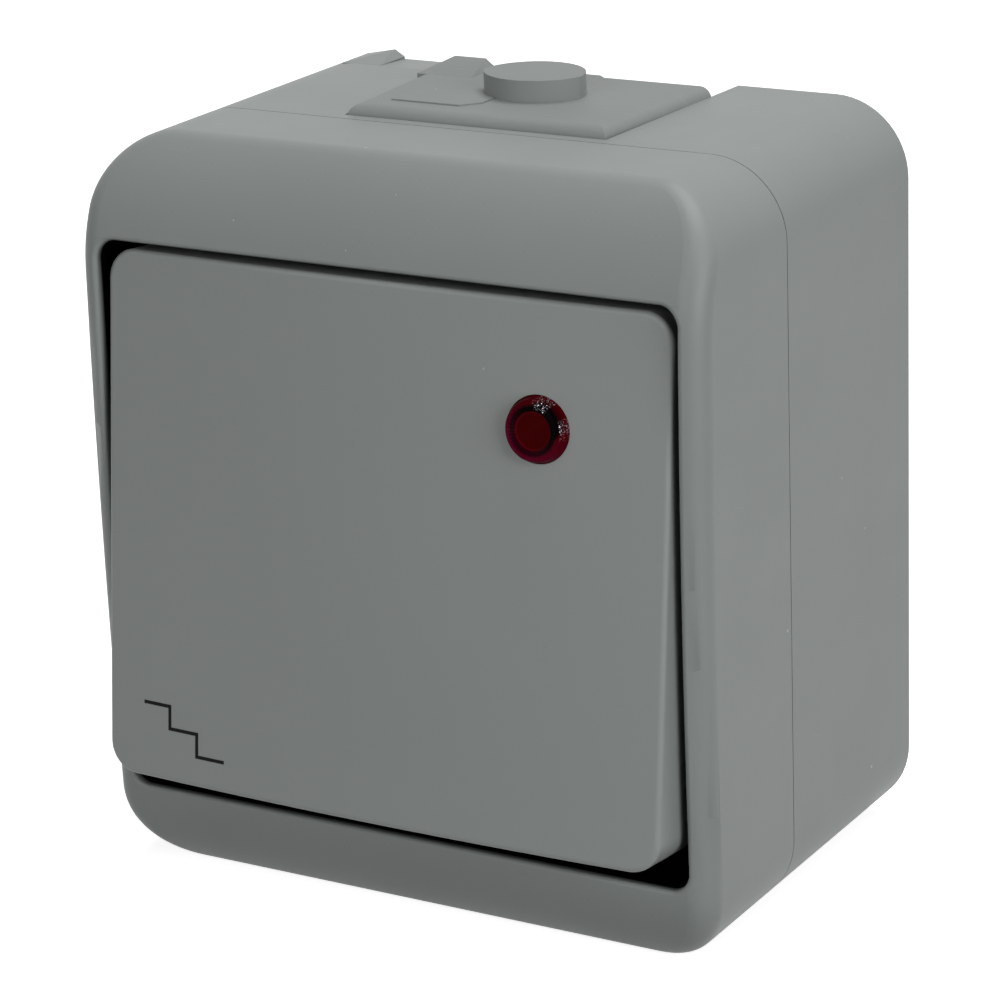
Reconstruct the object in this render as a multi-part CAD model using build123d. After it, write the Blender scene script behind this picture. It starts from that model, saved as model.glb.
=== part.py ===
from build123d import *
import math
import os

os.makedirs("parts", exist_ok=True)

# Surface mounted rocker switch with a pilot lamp, for a damp room.
# The origin is the centre of the back face, on the wall. +X is to the right as
# seen from the front, +Y goes into the wall and +Z is up. All sizes are in mm.
# A depth is measured from the wall towards the front, so it is minus Y.

# Casing: the moulded base on the wall and the cover in front of it
WIDTH = 66.0
HEIGHT = 72.8
BODY_DEPTH = 43.7
SEAM_DEPTH = 26.2
CORNER_ROUND = 7.5
BOW_RADIUS = 900.0
TOP_ROUND = 15.2
BOTTOM_ROUND = 10.6
ROUND_CUTOFF = 2.4
SIDE_ROUND = 2.4
WALL = 2.3
BACK_WALL = 2.2

# Joint between base and cover: a thicker rim, a groove, a ridge and a gasket
RIM_WALL = 3.4
RIM_DEPTH = 1.4
GROOVE_INSET = 1.1
GROOVE_WIDTH = 1.3
GROOVE_DEPTH = 2.2
RIDGE_HEIGHT = 0.8
RIDGE_CLEARANCE = 0.2
GASKET_CLEARANCE = 0.05
SEAM_LINE = 0.12

# Opening in the cover's front and the sunk tray behind it
TOP_STRIP = 9.4
BOTTOM_STRIP = 8.4
OPENING_CORNER = 2.0
OPENING_ROUND = 0.4
TRAY_WALL = 1.8
TRAY_FLOOR = 2.0

# Cable gland: a soft tapered plate in a slot of the base's top wall
SLOT_HALF_WIDTH = 15.2
SLOT_TAPER = 1.1
SLOT_FRONT_STRIP = 1.45
GLAND_CLEARANCE = 0.2
GLAND_REAR_GAP = 5.4
GLAND_PROUD = 0.95
GLAND_EDGE_ROUND = 1.2
GLAND_LIP = 2.4
GLAND_LIP_THICKNESS = 1.6
GLAND_SKIN = 1.5
RAIL_THICKNESS = 1.2
RAIL_CLEARANCE = 0.1
PAD_HEIGHT = 0.15
MEMBRANE_X = 0.5
MEMBRANE_RADIUS = 5.2
MEMBRANE_FRONT = 3.5
MEMBRANE_HEIGHT = 2.1
MEMBRANE_SKIN = 1.0
MEMBRANE_DEPTH = 14.4
LEVER_TAB = [-14.8, -13.3, -9.8, -8.6]
LEVER_TAB_RISE = 0.9
REAR_TAB = [-3.4, -3.0, 3.0, 3.4]
REAR_TAB_RISE = 0.2
PAD_LEFT = -10.9
PAD_RIGHT = -1.9
PAD_FRONT = 21.4
PAD_CORNER_WIDTH = 1.5
PAD_CORNER_DEPTH = 1.8

# Small shapes at the top wall's rear edge, and the cable hole's ring in the back
NOTCH_LENGTH = 4.8
NOTCH_DROP = 0.25
NOTCH_WIDTH = 7.3
HUMP_RISE = 0.65
HUMP_WIDTH = 4.4
KNOCKOUT_DIAMETER = 20.0
KNOCKOUT_GROOVE = 0.8

# Fixing to the wall: two slots on the upright centre line
WALL_SCREW_MARGIN = 8.4
WALL_SLOT_WIDTH = 4.4
WALL_SLOT_LENGTH = 8.0
WALL_SEAT_MARGIN = 2.2
WALL_SEAT_HEIGHT = 1.0

# Switch insert: body, front plate and their stack from the wall
PIVOT_HEIGHT = -0.64
WIRE_SPACE = 4.3
INSERT_FLOOR = 5.5
INSERT_DEPTH = 19.5
INSERT_SIDE_WALL = 1.4
INSERT_HALF_HEIGHT = 19.5
INSERT_CORNER = 2.0
PLATE_THICKNESS = 2.0
PLATE_HALF_WIDTH = 21.0
PLATE_HALF_HEIGHT = 20.5
PLATE_CORNER = 2.5
EAR_HALF_HEIGHT = 4.5
EAR_REACH = 3.2
SEAL_HEIGHT = 4.2
SEAL_WALL = 1.2
SEAL_CLEARANCE = 0.1
SEAL_LEDGE = 1.0
PIVOT_STANDOFF = 4.0

# Chamber and the current path
CHAMBER_HALF_WIDTH = 6.0
CHAMBER_HALF_HEIGHT = 12.5
CHAMBER_CORNER = 1.0
STRIP_THICKNESS = 1.0
STRIP_WIDTH = 4.0
STRIP_CLEARANCE = 0.2
TERMINAL_X = 11.0
TERMINAL_Z = 13.0
FULCRUM_HEIGHT = 3.0
FULCRUM_THICKNESS = 1.0
FULCRUM_CLEARANCE = 0.05
CONTACT_ARM = 8.0
CONTACT_TIP_HEIGHT = 0.8
CONTACT_TIP_RADIUS = 1.6
DOME_RADIUS = 3.0
SEESAW_THICKNESS = 1.2
SEESAW_HALF_WIDTH = 3.0
SEESAW_HALF_LENGTH = 10.2
SEESAW_CORNER = 1.2
SEESAW_SWING = 9.5
LUG_GAP = 0.4
LUG_THICKNESS = 0.8

# Wire clamps: a cage drawn up by a screw
CAGE_HALF_WIDTH = 3.5
CAGE_HALF_HEIGHT = 3.2
CAGE_WALL = 1.2
CAGE_TOP = 1.6
CAGE_LENGTH = 10.4
CAGE_CLEARANCE = 0.4
POCKET_SKIN = 1.5
CLAMP_SCREW_DIAMETER = 2.9
CLAMP_HEAD_DIAMETER = 5.0
CLAMP_HEAD_HEIGHT = 2.0
DRIVER_CLEARANCE = 0.3
THREAD_CLEARANCE = 0.05

# Rocker and the cradle that carries it
ROCKER_SIDE_GAP = 0.75
ROCKER_TOP_GAP = 2.04
ROCKER_CORNER = 3.0
ROCKER_FACE_BOW = 415.0
ROCKER_EDGE_ROUND = 0.5
ROCKER_FACE = 2.2
ROCKER_SKIRT = 1.6
ROCKER_SKIRT_GAP = 4.0
PIVOT_TO_FACE = 14.0
ROCKER_SWING = 6.2
RIB_HALF_WIDTH = 11.0
RIB_THICKNESS = 1.6
RIB_Z = 8.0
CRADLE_STANDOFF = 6.0
CRADLE_THICKNESS = 2.0
CRADLE_HALF_WIDTH = 12.4
CRADLE_HALF_HEIGHT = 11.0
CRADLE_CORNER = 1.5
CHEEK_X = 9.0
CHEEK_THICKNESS = 1.6
TRUNNION_DIAMETER = 3.0
TRUNNION_CLEARANCE = 0.05
TRUNNION_WALL = 1.1
BRACKET_GAP = 0.3
BRACKET_THICKNESS = 2.0
BRACKET_RADIUS = 3.0
CLIP_CLEARANCE = 0.2
CLIP_THICKNESS = 1.4
CLIP_HALF_HEIGHT = 3.5
CLIP_HOOK = 0.8

# Spring-loaded plunger in the cradle's boss
PLUNGER_DIAMETER = 4.0
PLUNGER_CLEARANCE = 0.05
PLUNGER_LENGTH = 9.0
PLUNGER_BORE = 3.0
PLUNGER_NOSE_WALL = 1.25
PLUNGER_GAP = 0.05
BOSS_DIAMETER = 7.4
BOSS_TO_SEESAW = 3.4
SPRING_SEAT_WALL = 4.5
SPRING_WIRE = 0.35
SPRING_DIAMETER = 2.75
SPRING_TURNS = 5

# Pilot lamp behind a red lens in the rocker
LENS_X = 17.1
LENS_RISE = 13.95
LENS_DIAMETER = 6.2
LENS_CLEARANCE = 0.05
LENS_PROUD = 0.25
LENS_BEVEL = 0.75
LENS_STEP = 0.55
LENS_DIP = 0.3
LENS_FLANGE = 7.4
LENS_FLANGE_THICKNESS = 1.0
LENS_PIPE_DIAMETER = 4.2
LENS_PIPE_LENGTH = 1.2
LAMP_OFFSET_X = -0.9
LAMP_OFFSET_Z = 0.3
LAMP_DIAMETER = 4.2
LAMP_LENGTH = 9.6
LAMP_CLEARANCE = 0.1
HOLDER_HALF_WIDTH = 2.9
HOLDER_CORNER = 0.8
HOLDER_HEIGHT = 3.2
HOLDER_BASE = 1.0
RESISTOR_DIAMETER = 2.4
RESISTOR_LENGTH = 6.5
RESISTOR_GAP = 2.0
LEAD_DIAMETER = 0.7
LEAD_HOLE_CLEARANCE = 0.25
LEAD_OFFSET_X = 4.0

# Screws
SCREW_INSET_X = 4.7
COVER_SCREW_INSET_Z = 3.6
COVER_SCREW_SHANK = 2.9
COVER_SCREW_HEAD = 5.8
COVER_HEAD_HEIGHT = 2.0
CUP_DEPTH = 2.4
CUP_WALL = 1.2
EAR_SCREW_SHANK = 2.4
EAR_SCREW_HEAD = 5.4
EAR_HEAD_HEIGHT = 1.2
EAR_SCREW_CLEARANCE = 0.5
PLATE_SCREW_SHANK = 1.9
PLATE_SCREW_HEAD = 3.8
PLATE_SCREW_HEAD_HEIGHT = 1.0
PLATE_SCREW_Z = 16.8
POST_DIAMETER = 6.6
POST_RIB_THICKNESS = 1.6
POST_RIB_HEIGHT = 16.0
SCREW_GRIP = 8.0
SCREW_TIP_GAP = 1.0

# Planes and places worked out from the sizes above
INSERT_REAR = BACK_WALL + WIRE_SPACE
STRIP_REAR = INSERT_REAR + INSERT_FLOOR
STRIP_FRONT = STRIP_REAR + STRIP_THICKNESS
INSERT_FRONT = INSERT_REAR + INSERT_DEPTH
PLATE_FRONT = INSERT_FRONT + PLATE_THICKNESS
TRAY_REAR = PLATE_FRONT + SEAL_HEIGHT
TRAY_FRONT = TRAY_REAR + TRAY_FLOOR
PIVOT_DEPTH = PLATE_FRONT + PIVOT_STANDOFF
FACE_DEPTH = PIVOT_DEPTH + PIVOT_TO_FACE
SKIRT_BACK = TRAY_FRONT + ROCKER_SKIRT_GAP
CRADLE_BACK = PIVOT_DEPTH + CRADLE_STANDOFF
CRADLE_FRONT = CRADLE_BACK + CRADLE_THICKNESS
SPRING_SEAT = CRADLE_FRONT - SPRING_SEAT_WALL
SEESAW_DEPTH = STRIP_FRONT + FULCRUM_HEIGHT
SEESAW_FRONT = SEESAW_DEPTH + SEESAW_THICKNESS
BOSS_REAR = SEESAW_FRONT + BOSS_TO_SEESAW
PLUNGER_TIP = SEESAW_FRONT + PLUNGER_GAP
PLUNGER_FLOOR = PLUNGER_TIP + PLUNGER_DIAMETER / 2 + PLUNGER_NOSE_WALL
OPENING_TOP = HEIGHT / 2 - TOP_STRIP
OPENING_BOTTOM = -HEIGHT / 2 + BOTTOM_STRIP
OPENING_HALF_WIDTH = WIDTH / 2 - WALL
ROCKER_HALF_WIDTH = OPENING_HALF_WIDTH - ROCKER_SIDE_GAP
ROCKER_HALF_HEIGHT = OPENING_TOP - PIVOT_HEIGHT - ROCKER_TOP_GAP
SLOT_FRONT = SEAM_DEPTH - SLOT_FRONT_STRIP
GLAND_FRONT = SLOT_FRONT - GLAND_CLEARANCE
GLAND_TOP = HEIGHT / 2 + GLAND_PROUD
GLAND_LOW = HEIGHT / 2 - WALL - GLAND_LIP_THICKNESS
INSERT_HALF_WIDTH = TERMINAL_X + CAGE_HALF_WIDTH + CAGE_CLEARANCE + INSERT_SIDE_WALL
EAR_X = OPENING_HALF_WIDTH - SCREW_INSET_X
WALL_SCREW_Z = HEIGHT / 2 - WALL_SCREW_MARGIN
CUP_FLOOR = TRAY_FRONT - CUP_DEPTH
POST_TOP = CUP_FLOOR - TRAY_FLOOR
LENS_Z = PIVOT_HEIGHT + LENS_RISE
LAMP_X = LENS_X + LAMP_OFFSET_X
LAMP_Z = LENS_Z + LAMP_OFFSET_Z
RESISTOR_TOP = LAMP_Z - HOLDER_HALF_WIDTH - RESISTOR_GAP
COVER_POSTS = [(-EAR_X, OPENING_TOP - COVER_SCREW_INSET_Z), (EAR_X, OPENING_BOTTOM + COVER_SCREW_INSET_Z)]
TERMINALS = {
    "upper": (-TERMINAL_X, PIVOT_HEIGHT + TERMINAL_Z),
    "lower": (TERMINAL_X, PIVOT_HEIGHT - TERMINAL_Z),
    "common": (-TERMINAL_X, PIVOT_HEIGHT - TERMINAL_Z),
}
LEAD_HOLES = [
    (-TERMINAL_X + LEAD_OFFSET_X, PIVOT_HEIGHT + CONTACT_ARM),
    (TERMINAL_X, PIVOT_HEIGHT - CONTACT_ARM),
]
ROCKER_AXIS = Axis((0, -PIVOT_DEPTH, PIVOT_HEIGHT), (1, 0, 0))
SEESAW_AXIS = Axis((0, -SEESAW_DEPTH, PIVOT_HEIGHT), (1, 0, 0))
CUT = 1.0


def slab(half_width, half_height, corner, near, far, x=0.0, z=0.0):
    """Upright plate with rounded corners, from depth near to depth far."""
    shape = RectangleRounded(2 * half_width, 2 * half_height, corner)
    return extrude(Plane.XZ.offset(near) * Pos(x, z) * shape, amount=far - near)


def block(x_low, x_high, near, far, z_low, z_high):
    """Box between two values of X, two depths and two heights."""
    size = (x_high - x_low, far - near, z_high - z_low)
    return Pos((x_low + x_high) / 2, -(near + far) / 2, (z_low + z_high) / 2) * Box(*size)


def rod(diameter, near, far, x=0.0, z=0.0):
    """Cylinder along the depth, from depth near to depth far."""
    return extrude(Plane.XZ.offset(near) * Pos(x, z) * Circle(diameter / 2), amount=far - near)


def cross_rod(diameter, x_low, x_high, depth, z):
    """Cylinder along X between two values of X."""
    centre = Plane.YZ.offset(x_low) * Pos(-depth, z)
    return extrude(centre * Circle(diameter / 2), amount=x_high - x_low)


def side_cut(points, x_low, x_high):
    """Prism along X over a polygon of (depth, height) points."""
    outline = make_face(Polyline(*[(-depth, z) for depth, z in points], close=True))
    return extrude(Plane.YZ.offset(x_low) * outline, amount=x_high - x_low)


def front_cut(points, near, far):
    """Prism along the depth over a polygon of (X, height) points."""
    outline = make_face(Polyline(*points, close=True))
    return extrude(Plane.XZ.offset(near) * outline, amount=far - near)


def top_cut(points, z_low, z_high):
    """Upright prism over a polygon of (X, depth) points."""
    outline = make_face(Polyline(*[(x, -depth) for x, depth in points], close=True))
    return extrude(Plane.XY.offset(z_low) * outline, amount=z_high - z_low)


def casing_slab(inset, near, far):
    """The casing's front view, drawn in by inset, between two depths."""
    return slab(WIDTH / 2 - inset, HEIGHT / 2 - inset, CORNER_ROUND - inset, near, far)


def casing_ring(outer_inset, inner_inset, near, far):
    """A closed frame that follows the casing's outline."""
    return casing_slab(outer_inset, near, far) - casing_slab(inner_inset, near - CUT, far + CUT)


def on_circle(centre, radius, angle):
    """Point on a circle at an angle."""
    return (centre[0] + radius * math.cos(angle), centre[1] + radius * math.sin(angle))


def round_arc(round_radius, inset, side):
    """Ends and middle of the arc between the bowed front and the flat top or bottom.

    The full quarter round would run past the flat by the cutoff, so its arc meets
    the flat at a soft angle. The three points run from the flat to the front.
    """
    radius = round_radius - inset
    bow = BOW_RADIUS - inset
    bow_y = BOW_RADIUS - BODY_DEPTH
    rise = HEIGHT / 2 + ROUND_CUTOFF - round_radius
    centre = (bow_y - math.sqrt((bow - radius) ** 2 - rise ** 2), side * rise)
    front_angle = math.pi - side * math.asin(rise / (bow - radius))
    flat_angle = math.pi - side * math.asin((HEIGHT / 2 - inset - rise) / radius)
    middle_angle = (front_angle + flat_angle) / 2
    return [on_circle(centre, radius, angle) for angle in (flat_angle, middle_angle, front_angle)]


def cover_side_view(inset, rear):
    """Side view of the cover: flat top and bottom, large rounds, bowed front."""
    half = HEIGHT / 2 - inset
    top_end, top_middle, top_tangent = round_arc(TOP_ROUND, inset, 1)
    bottom_end, bottom_middle, bottom_tangent = round_arc(BOTTOM_ROUND, inset, -1)
    with BuildLine() as outline:
        Line((-rear, -half), bottom_end)
        ThreePointArc(bottom_end, bottom_middle, bottom_tangent)
        ThreePointArc(bottom_tangent, (inset - BODY_DEPTH, 0), top_tangent)
        ThreePointArc(top_tangent, top_middle, top_end)
        Line(top_end, (-rear, half))
        Line((-rear, half), (-rear, -half))
    return make_face(outline.line)


def cover_core(inset, rear):
    """Body where the cover's side view and its front view meet."""
    half_width = WIDTH / 2 - inset
    side = extrude(Plane.YZ.offset(-half_width) * cover_side_view(inset, rear), amount=2 * half_width)
    return side & casing_slab(inset, rear, BODY_DEPTH + CUT)


def cover_skin():
    """Outside of the cover. Growing a smaller core by the side round gives all its soft edges."""
    core = cover_core(SIDE_ROUND, -3 * SIDE_ROUND)
    grown = offset(core, SIDE_ROUND, kind=Kind.ARC)
    return grown - casing_slab(-CUT, -5 * SIDE_ROUND, SEAM_DEPTH)


def runs_round_the_opening(edge):
    """True for the edges between the cover's front and the opening's walls."""
    place = edge.center()
    inside = abs(place.X) < OPENING_HALF_WIDTH + 0.01 and OPENING_BOTTOM - 0.01 < place.Z < OPENING_TOP + 0.01
    return inside and place.Y < -(TRAY_FRONT + BODY_DEPTH) / 2 and abs(edge.tangent_at(0.5).Y) < 0.5


def front_cover():
    """Cover with the sunk tray that the rocker moves in, and its two screw cups."""
    z_middle = (OPENING_TOP + OPENING_BOTTOM) / 2
    half_height = (OPENING_TOP - OPENING_BOTTOM) / 2
    tray_low = OPENING_BOTTOM - TRAY_WALL
    tray_high = OPENING_TOP + TRAY_WALL
    cup_hole = COVER_SCREW_HEAD + 2 * THREAD_CLEARANCE
    groove_end = SEAM_DEPTH + GROOVE_DEPTH
    hollow = cover_core(WALL, -CUT)
    hollow -= block(-WIDTH / 2, WIDTH / 2, TRAY_REAR, BODY_DEPTH, tray_low, tray_high)
    hollow -= casing_ring(0, RIM_WALL, SEAM_DEPTH, groove_end + RIM_DEPTH)
    for x, z in COVER_POSTS:
        hollow -= rod(cup_hole + 2 * CUP_WALL, POST_TOP, TRAY_FRONT, x, z)
    cover = cover_skin() - hollow
    front = BODY_DEPTH + CUT
    cover -= slab(OPENING_HALF_WIDTH, half_height, OPENING_CORNER, TRAY_FRONT, front, 0, z_middle)
    cover = fillet(cover.edges().filter_by(runs_round_the_opening), OPENING_ROUND)
    window_width = PLATE_HALF_WIDTH - SEAL_WALL - SEAL_LEDGE
    window_height = PLATE_HALF_HEIGHT - SEAL_WALL - SEAL_LEDGE
    near, far = TRAY_REAR - CUT, TRAY_FRONT + CUT
    cover -= slab(window_width, window_height, PLATE_CORNER, near, far, 0, PIVOT_HEIGHT)
    for x, z in COVER_POSTS:
        cover -= rod(cup_hole, CUP_FLOOR, TRAY_FRONT + CUT, x, z)
        cover -= rod(COVER_SCREW_SHANK + 4 * THREAD_CLEARANCE, POST_TOP - CUT, CUP_FLOOR + CUT, x, z)
    return cover - casing_ring(GROOVE_INSET, GROOVE_INSET + GROOVE_WIDTH, SEAM_DEPTH - CUT, groove_end)


def rim_gasket():
    """Soft closed cord in the cover's groove, pressed by the base's ridge."""
    outer = GROOVE_INSET + GASKET_CLEARANCE
    inner = GROOVE_INSET + GROOVE_WIDTH - GASKET_CLEARANCE
    return casing_ring(outer, inner, SEAM_DEPTH + RIDGE_HEIGHT, SEAM_DEPTH + GROOVE_DEPTH)


def screw_post(x, z, top):
    """Round post on the back wall with a rib to the side wall."""
    post = rod(POST_DIAMETER, BACK_WALL - CUT, top, x, z)
    rib_end = math.copysign(WIDTH / 2 - WALL + CUT, x)
    rib_half = POST_RIB_THICKNESS / 2
    rib_top = BACK_WALL + POST_RIB_HEIGHT
    low, high = min(x, rib_end), max(x, rib_end)
    return post + block(low, high, BACK_WALL - CUT, rib_top, z - rib_half, z + rib_half)


def pilot_hole(x, z, top, shank):
    """Blind hole in a post that a thread-forming screw bites into."""
    return rod(shank + 2 * THREAD_CLEARANCE, top - SCREW_GRIP, top + CUT, x, z)


def upright_slot(z, margin, near, far):
    """Upright slot shape of a wall screw's hole, grown by margin, between two depths."""
    shape = SlotOverall(WALL_SLOT_LENGTH + 2 * margin, WALL_SLOT_WIDTH + 2 * margin, rotation=90)
    return extrude(Plane.XZ.offset(near) * Pos(0, z) * shape, amount=far - near)


def gland_rail():
    """L-shaped rail under the top wall that the gland's lip slides on."""
    ceiling = HEIGHT / 2 - WALL
    rail_top = ceiling - GLAND_LIP_THICKNESS - RAIL_CLEARANCE
    rail_low = rail_top - RAIL_THICKNESS
    lip_end = SLOT_HALF_WIDTH + GLAND_LIP + RAIL_CLEARANCE
    rail_end = lip_end + RAIL_THICKNESS
    rim_near = SEAM_DEPTH - RIM_DEPTH
    foot = block(SLOT_HALF_WIDTH, rail_end, GLAND_REAR_GAP, rim_near, rail_low, rail_top)
    return foot + block(lip_end, rail_end, GLAND_REAR_GAP, rim_near, rail_low, ceiling + CUT)


def slot_outline(clearance):
    """Corners of the gland's tapered slot in the top wall, drawn in by clearance."""
    rear_half = SLOT_HALF_WIDTH - clearance
    front_half = SLOT_HALF_WIDTH - SLOT_TAPER - clearance
    front = SLOT_FRONT - clearance
    near = GLAND_REAR_GAP if clearance else -CUT
    return [(-rear_half, near), (rear_half, near), (front_half, front), (-front_half, front)]


def base_box():
    """Base on the wall: open box with rim, ridge, slot for the gland, posts and slots."""
    box = casing_slab(0, 0, SEAM_DEPTH) - casing_slab(WALL, BACK_WALL, SEAM_DEPTH + CUT)
    box += casing_ring(WALL - CUT / 2, RIM_WALL, SEAM_DEPTH - RIM_DEPTH, SEAM_DEPTH)
    box -= casing_ring(-CUT, 2 * SEAM_LINE, SEAM_DEPTH - SEAM_LINE, SEAM_DEPTH + CUT)
    ridge_outer = GROOVE_INSET + RIDGE_CLEARANCE
    ridge_inner = GROOVE_INSET + GROOVE_WIDTH - RIDGE_CLEARANCE
    box += casing_ring(ridge_outer, ridge_inner, SEAM_DEPTH - CUT, SEAM_DEPTH + RIDGE_HEIGHT)
    rail = gland_rail()
    box += rail
    box += mirror(rail, Plane.YZ)
    for x, z in COVER_POSTS:
        box += screw_post(x, z, POST_TOP)
        box -= pilot_hole(x, z, POST_TOP, COVER_SCREW_SHANK)
    for x in (-EAR_X, EAR_X):
        box += screw_post(x, PIVOT_HEIGHT, INSERT_FRONT)
        box -= pilot_hole(x, PIVOT_HEIGHT, INSERT_FRONT, EAR_SCREW_SHANK)
    for z in (-WALL_SCREW_Z, WALL_SCREW_Z):
        box += upright_slot(z, WALL_SEAT_MARGIN, BACK_WALL - CUT, BACK_WALL + WALL_SEAT_HEIGHT)
        box -= upright_slot(z, 0, -CUT, BACK_WALL + WALL_SEAT_HEIGHT + CUT)
    box += rear_hump()
    box -= top_cut(slot_outline(0), HEIGHT / 2 - WALL - CUT, HEIGHT / 2 + CUT)
    box -= lever_notch()
    return box - knockout_groove()


def knockout_groove():
    """Ring groove in the back wall, for a cable hole that can be broken out."""
    end = BACK_WALL / 2
    inner = KNOCKOUT_DIAMETER - 2 * KNOCKOUT_GROOVE
    return rod(KNOCKOUT_DIAMETER, -CUT, end) - rod(inner, -2 * CUT, end + CUT)


def rear_hump():
    """Low wedge on the top wall's rear edge, left of the slot, that falls away to the front."""
    top = HEIGHT / 2
    right = -SLOT_HALF_WIDTH - NOTCH_WIDTH
    left = right - HUMP_WIDTH
    crown = right - HUMP_WIDTH / 4
    wedge = [(0, top - CUT), (0, top + HUMP_RISE), (NOTCH_LENGTH, top), (NOTCH_LENGTH, top - CUT)]
    view = [(left, top - CUT), (right, top - CUT), (right, top), (crown, top + HUMP_RISE), (left, top)]
    return side_cut(wedge, left, right) & front_cut(view, 0, NOTCH_LENGTH)


def lever_notch():
    """Shallow ramp between the hump and the slot, to lift the gland with a blade."""
    top = HEIGHT / 2
    rear_drop = NOTCH_DROP * (1 + CUT / NOTCH_LENGTH)
    points = [(NOTCH_LENGTH, top), (-CUT, top - rear_drop), (-CUT, top + CUT), (NOTCH_LENGTH, top + CUT)]
    return side_cut(points, -SLOT_HALF_WIDTH - NOTCH_WIDTH, -SLOT_HALF_WIDTH + CUT)


def membrane_outline(inset):
    """The membrane's top view: a half circle at the rear and a flatter arc in front."""
    radius = MEMBRANE_RADIUS - inset
    front = MEMBRANE_FRONT - inset
    with BuildLine() as outline:
        ThreePointArc((-radius, 0), (0, radius), (radius, 0))
        ThreePointArc((radius, 0), (0, -front), (-radius, 0))
    return make_face(outline.line)


def membrane_prism(inset, z_low, z_high):
    """Upright prism over the membrane's top view."""
    place = Plane.XY.offset(z_low) * Pos(MEMBRANE_X, -MEMBRANE_DEPTH)
    return extrude(place * membrane_outline(inset), amount=z_high - z_low)


def cable_gland():
    """Soft plate with rounded edges, a lip under the top wall and a closed membrane cup."""
    plate = top_cut(slot_outline(GLAND_CLEARANCE), GLAND_LOW, GLAND_TOP)
    upper = plate.edges().filter_by(lambda edge: edge.center().Z > GLAND_TOP - 0.01)
    plate = fillet(upper.filter_by(lambda edge: edge.center().Y < -GLAND_REAR_GAP - 0.01), GLAND_EDGE_ROUND)
    lip = SLOT_HALF_WIDTH + GLAND_LIP
    plate += block(-lip, lip, GLAND_REAR_GAP, GLAND_FRONT, GLAND_LOW, GLAND_LOW + GLAND_LIP_THICKNESS)
    plate += gland_tab(LEVER_TAB, LEVER_TAB_RISE)
    plate += gland_tab(REAR_TAB, REAR_TAB_RISE)
    plate += marking_pad()
    plate += membrane_prism(0, GLAND_TOP - CUT, GLAND_TOP + MEMBRANE_HEIGHT)
    return plate - gland_hollow()


def gland_hollow():
    """Space under the plate, with a tube round the cable hole."""
    margin = MEMBRANE_SKIN + GLAND_SKIN
    half = SLOT_HALF_WIDTH - SLOT_TAPER - GLAND_CLEARANCE - margin
    near = GLAND_REAR_GAP + margin
    pocket = block(-half, half, near, GLAND_FRONT - margin, GLAND_LOW - CUT, GLAND_TOP - GLAND_SKIN)
    tube = membrane_prism(0, GLAND_LOW - CUT, GLAND_TOP)
    bore = membrane_prism(MEMBRANE_SKIN, GLAND_LOW - CUT, GLAND_TOP + MEMBRANE_HEIGHT - MEMBRANE_SKIN)
    return (pocket - tube) + bore


def gland_tab(corners, height):
    """Finger wedge at the plate's rear edge. The four corners run from left foot to right foot."""
    near, far = GLAND_REAR_GAP, GLAND_REAR_GAP + NOTCH_LENGTH
    low = GLAND_TOP - GLAND_PROUD
    left_foot, left_crown, right_crown, right_foot = corners
    wedge = [(near, low), (near, GLAND_TOP + height), (far, GLAND_TOP), (far, low)]
    view = [
        (left_foot, low),
        (right_foot, low),
        (right_foot, GLAND_TOP),
        (right_crown, GLAND_TOP + height),
        (left_crown, GLAND_TOP + height),
        (left_foot, GLAND_TOP),
    ]
    return side_cut(wedge, left_foot, right_foot) & front_cut(view, near, far)


def marking_pad():
    """Low bare pad beside the membrane, where such plates carry their marks."""
    corners = [
        (PAD_LEFT, MEMBRANE_DEPTH),
        (PAD_LEFT, PAD_FRONT),
        (PAD_RIGHT - PAD_CORNER_WIDTH, PAD_FRONT),
        (PAD_RIGHT, PAD_FRONT - PAD_CORNER_DEPTH),
        (PAD_RIGHT, MEMBRANE_DEPTH),
    ]
    return top_cut(corners, GLAND_TOP - CUT / 2, GLAND_TOP + PAD_HEIGHT)


def contact_strip_outline(run_low, run_high, x_inner, leg_end):
    """Flat L of a contact strip in the front view, measured from the pivot's height."""
    x_outer = -TERMINAL_X - STRIP_WIDTH / 2
    run_centre = Pos((x_inner + x_outer) / 2, (run_low + run_high) / 2)
    run = run_centre * Rectangle(x_inner - x_outer, run_high - run_low)
    leg_low, leg_high = min(run_low, leg_end), max(run_high, leg_end)
    leg = Pos(-TERMINAL_X, (leg_low + leg_high) / 2) * Rectangle(STRIP_WIDTH, leg_high - leg_low)
    return run + leg


def strip_outlines():
    """The three strips' outlines: the lower one is the upper one turned half round."""
    reach = TERMINAL_Z + CAGE_HALF_HEIGHT
    run = CONTACT_TIP_RADIUS + STRIP_CLEARANCE
    upper = contact_strip_outline(CONTACT_ARM - run, CONTACT_ARM + run, run + STRIP_CLEARANCE, reach)
    lug_end = SEESAW_HALF_WIDTH + LUG_GAP + LUG_THICKNESS
    common = contact_strip_outline(-STRIP_WIDTH / 2, STRIP_WIDTH / 2, lug_end, -reach)
    return {"upper": upper, "lower": Rot(0, 0, 180) * upper, "common": common}


def front_view_prism(outline, near, far):
    """Outline drawn about the pivot's height, between two depths."""
    return extrude(Plane.XZ.offset(near) * Pos(0, PIVOT_HEIGHT) * outline, amount=far - near)


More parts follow.
